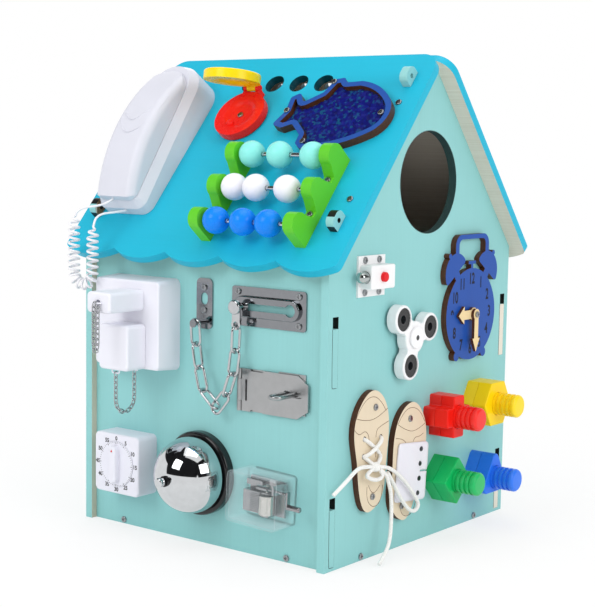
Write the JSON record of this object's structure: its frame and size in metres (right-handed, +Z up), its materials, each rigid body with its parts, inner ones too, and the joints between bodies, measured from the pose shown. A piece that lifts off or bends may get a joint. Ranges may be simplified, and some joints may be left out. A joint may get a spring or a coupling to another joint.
{
  "type": "toy activity house",
  "caption": "Painted plywood toy house with a scalloped roof, carrying a telephone, abacus, clock, latch, chain, bell, timer, music box and other fittings to play with.",
  "frame": {"origin": "centre of the underside of the house, on the floor", "axes": "+X along the front wall to the right, towards the gable with the clock; +Y from the front wall to the rear; +Z up"},
  "size_m": [0.3585, 0.3859, 0.4493],
  "materials": {
    "birch": "raw birch ply",
    "mint_ply": "painted plywood",
    "roof_ply": "painted plywood",
    "screw_steel": "plated steel",
    "white_plastic": "moulded plastic",
    "white_cord": "soft cord",
    "castanet_red": "painted wood",
    "lime_ply": "painted plywood",
    "rod_steel": "drawn steel rod",
    "blue_ply": "painted plywood",
    "sequin_cloth": "sequin cloth",
    "chrome_plate": "polished plate",
    "satin_steel": "satin steel",
    "black_metal": "painted steel",
    "clear_plastic": "clear plastic",
    "movement_steel": "plated movement",
    "white_lace": "woven lace",
    "white_felt": "felt",
    "nut_red": "moulded plastic",
    "castanet_yellow": "painted wood",
    "bead_mint": "lacquered bead",
    "bead_white": "lacquered bead",
    "bead_blue": "lacquered bead",
    "button_red": "moulded plastic",
    "nut_yellow": "moulded plastic",
    "nut_green": "moulded plastic",
    "nut_blue": "moulded plastic"
  },
  "bodies": {
    "house": {"floor_panel": "birch", "front_wall": "mint_ply", "rear_wall": "mint_ply", "left_gable": "mint_ply", "right_gable": "mint_ply", "front_roof": "roof_ply", "rear_roof": "roof_ply", "wood_screws": "screw_steel", "phone_base": "white_plastic", "curly_cord": "white_cord", "castanet_base": "castanet_red", "abacus_brackets": "lime_ply", "abacus_rods": "rod_steel", "whale_frame": "blue_ply", "whale_sequins": "sequin_cloth", "socket_box": "white_plastic", "plug_chains": "chrome_plate", "door_chain_plates": "chrome_plate", "hasp_leaf": "satin_steel", "timer_case": "white_plastic", "bell_base": "black_metal", "bell_dome": "chrome_plate", "music_case": "clear_plastic", "music_movement": "movement_steel", "latch_body": "white_plastic", "clock_face": "blue_ply", "shoe_soles": "birch", "shoe_lace": "white_lace", "snap_flap": "white_felt", "toy_bolts": "nut_red"},
    "phone_handset": {"phone_handset": "white_plastic"},
    "castanet_clapper": {"castanet_clapper": "castanet_yellow"},
    "bead_mint_left": {"bead_mint_left": "bead_mint"},
    "bead_mint_middle": {"bead_mint_middle": "bead_mint"},
    "bead_mint_right": {"bead_mint_right": "bead_mint"},
    "bead_white_left": {"bead_white_left": "bead_white"},
    "bead_white_middle": {"bead_white_middle": "bead_white"},
    "bead_white_right": {"bead_white_right": "bead_white"},
    "bead_blue_left": {"bead_blue_left": "bead_blue"},
    "bead_blue_middle": {"bead_blue_middle": "bead_blue"},
    "bead_blue_right": {"bead_blue_right": "bead_blue"},
    "two_pin_plug": {"two_pin_plug": "white_plastic"},
    "three_pin_plug": {"three_pin_plug": "white_plastic"},
    "chain_slider": {"chain_slider": "chrome_plate"},
    "door_chain_left": {"door_chain_left": "chrome_plate"},
    "door_chain_right": {"door_chain_right": "chrome_plate"},
    "hasp_plate": {"hasp_plate": "satin_steel"},
    "timer_dial": {"timer_dial": "white_plastic"},
    "bell_plunger": {"bell_plunger": "chrome_plate"},
    "music_crank": {"music_crank": "movement_steel"},
    "music_cylinder": {"music_cylinder": "movement_steel"},
    "latch_button": {"latch_button": "button_red"},
    "latch_bolt": {"latch_bolt": "satin_steel"},
    "spinner_body": {"spinner_body": "white_plastic"},
    "clock_hour_hand": {"clock_hour_hand": "birch"},
    "clock_minute_hand": {"clock_minute_hand": "birch"},
    "toy_nut_cross": {"toy_nut_cross": "nut_red"},
    "toy_nut_hexagon": {"toy_nut_hexagon": "nut_yellow"},
    "toy_nut_square": {"toy_nut_square": "nut_green"},
    "toy_nut_triangle": {"toy_nut_triangle": "nut_blue"}
  },
  "joints": [
    {"name": "handset_lift", "type": "slide", "parent": "house", "child": "phone_handset", "axis": [0, -0.8377, 0.5461], "range_m": [0, 0.04], "deforming": ["curly_cord"]},
    {"name": "castanet_hinge", "type": "hinge", "parent": "house", "child": "castanet_clapper", "pos_m": [-0.0265, -0.04649, 0.41899], "axis": [1, 0, 0], "range_deg": [0, 55], "stiffness_Nm_per_rad": 0.05, "springref_deg": -11.46},
    {"name": "bead_mint_left_slide", "type": "slide", "parent": "house", "child": "bead_mint_left", "axis": [1, 0, 0], "range_m": [-0.00004, 0.00701]},
    {"name": "bead_mint_middle_slide", "type": "slide", "parent": "house", "child": "bead_mint_middle", "axis": [1, 0, 0], "range_m": [-0.00701, 0.01249]},
    {"name": "bead_mint_right_slide", "type": "slide", "parent": "house", "child": "bead_mint_right", "axis": [1, 0, 0], "range_m": [-0.01249, 0.00187]},
    {"name": "bead_white_left_slide", "type": "slide", "parent": "house", "child": "bead_white_left", "axis": [1, 0, 0], "range_m": [-0.00004, 0.00019]},
    {"name": "bead_white_middle_slide", "type": "slide", "parent": "house", "child": "bead_white_middle", "axis": [1, 0, 0], "range_m": [-0.00019, 0.01037]},
    {"name": "bead_white_right_slide", "type": "slide", "parent": "house", "child": "bead_white_right", "axis": [1, 0, 0], "range_m": [-0.01037, 0.0108]},
    {"name": "bead_blue_left_slide", "type": "slide", "parent": "house", "child": "bead_blue_left", "axis": [1, 0, 0], "range_m": [-0.00004, 0.00605]},
    {"name": "bead_blue_middle_slide", "type": "slide", "parent": "house", "child": "bead_blue_middle", "axis": [1, 0, 0], "range_m": [-0.00605, 0.00374]},
    {"name": "bead_blue_right_slide", "type": "slide", "parent": "house", "child": "bead_blue_right", "axis": [1, 0, 0], "range_m": [-0.00374, 0.01157]},
    {"name": "two_pin_pull", "type": "slide", "parent": "house", "child": "two_pin_plug", "axis": [0, -1, 0], "range_m": [0, 0.02], "deforming": ["plug_chains"]},
    {"name": "three_pin_pull", "type": "slide", "parent": "house", "child": "three_pin_plug", "axis": [0, -1, 0], "range_m": [0, 0.02], "deforming": ["plug_chains"]},
    {"name": "chain_slider_run", "type": "slide", "parent": "house", "child": "chain_slider", "axis": [-1, 0, 0], "range_m": [-0.054, 0]},
    {"name": "chain_left_swing", "type": "hinge", "parent": "house", "child": "door_chain_left", "pos_m": [0.0003, -0.1555, 0.2047], "axis": [0, 1, 0], "range_deg": [-22, 0.5]},
    {"name": "chain_right_swing", "type": "hinge", "parent": "chain_slider", "child": "door_chain_right", "pos_m": [0.0492, -0.1555, 0.208], "axis": [0, 1, 0], "range_deg": [-0.5, 23]},
    {"name": "hasp_hinge", "type": "hinge", "parent": "house", "child": "hasp_plate", "pos_m": [0.046, -0.1461, 0.149], "axis": [0, 0, -1], "range_deg": [0, 45]},
    {"name": "timer_turn", "type": "hinge", "parent": "house", "child": "timer_dial", "pos_m": [-0.086, -0.1685, 0.0645], "axis": [0, 1, 0], "range_deg": [0, 330]},
    {"name": "bell_press", "type": "slide", "parent": "house", "child": "bell_plunger", "axis": [0, 1, 0], "range_m": [0, 0.0025], "stiffness_N_per_m": 400, "springref_m": -0.001},
    {"name": "music_crank_turn", "type": "hinge", "parent": "house", "child": "music_crank", "pos_m": [0.08248, -0.1635, 0.06879], "axis": [0.999, 0, -0.0436], "continuous": true},
    {"name": "music_cylinder_turn", "type": "hinge", "parent": "house", "child": "music_cylinder", "pos_m": [0.08799, -0.1575, 0.05754], "axis": [0.0436, 0, 0.999], "continuous": true},
    {"name": "latch_press", "type": "slide", "parent": "house", "child": "latch_button", "axis": [-1, 0, 0], "range_m": [0, 0.0025], "stiffness_N_per_m": 300, "springref_m": -0.001},
    {"name": "latch_bolt_draw", "type": "slide", "parent": "house", "child": "latch_bolt", "axis": [0, 1, 0], "range_m": [0, 0.007]},
    {"name": "spinner_spin", "type": "hinge", "parent": "house", "child": "spinner_body", "pos_m": [0.146, -0.0354, 0.1953], "axis": [1, 0, 0], "continuous": true},
    {"name": "hour_hand_turn", "type": "hinge", "parent": "house", "child": "clock_hour_hand", "pos_m": [0.146, 0.0705, 0.2075], "axis": [1, 0, 0], "continuous": true},
    {"name": "minute_hand_turn", "type": "hinge", "parent": "house", "child": "clock_minute_hand", "pos_m": [0.146, 0.0705, 0.2075], "axis": [1, 0, 0], "continuous": true},
    {"name": "toy_nut_cross_turn", "type": "hinge", "parent": "house", "child": "toy_nut_cross", "pos_m": [0.146, 0.02, 0.117], "axis": [1, 0, 0], "continuous": true},
    {"name": "toy_nut_hexagon_turn", "type": "hinge", "parent": "house", "child": "toy_nut_hexagon", "pos_m": [0.146, 0.091, 0.12], "axis": [1, 0, 0], "continuous": true},
    {"name": "toy_nut_square_turn", "type": "hinge", "parent": "house", "child": "toy_nut_square", "pos_m": [0.146, 0.0215, 0.056], "axis": [1, 0, 0], "continuous": true},
    {"name": "toy_nut_triangle_turn", "type": "hinge", "parent": "house", "child": "toy_nut_triangle", "pos_m": [0.146, 0.091, 0.0475], "axis": [1, 0, 0], "continuous": true}
  ],
  "couplings": [
    {"joint": "chain_left_swing", "follows": "chain_slider_run", "rad_per_m": 7.0007},
    {"joint": "chain_right_swing", "follows": "chain_slider_run", "rad_per_m": -7.2367},
    {"joint": "music_cylinder_turn", "follows": "music_crank_turn", "ratio": 0.1},
    {"joint": "latch_bolt_draw", "follows": "latch_press", "ratio": 2.8}
  ]
}
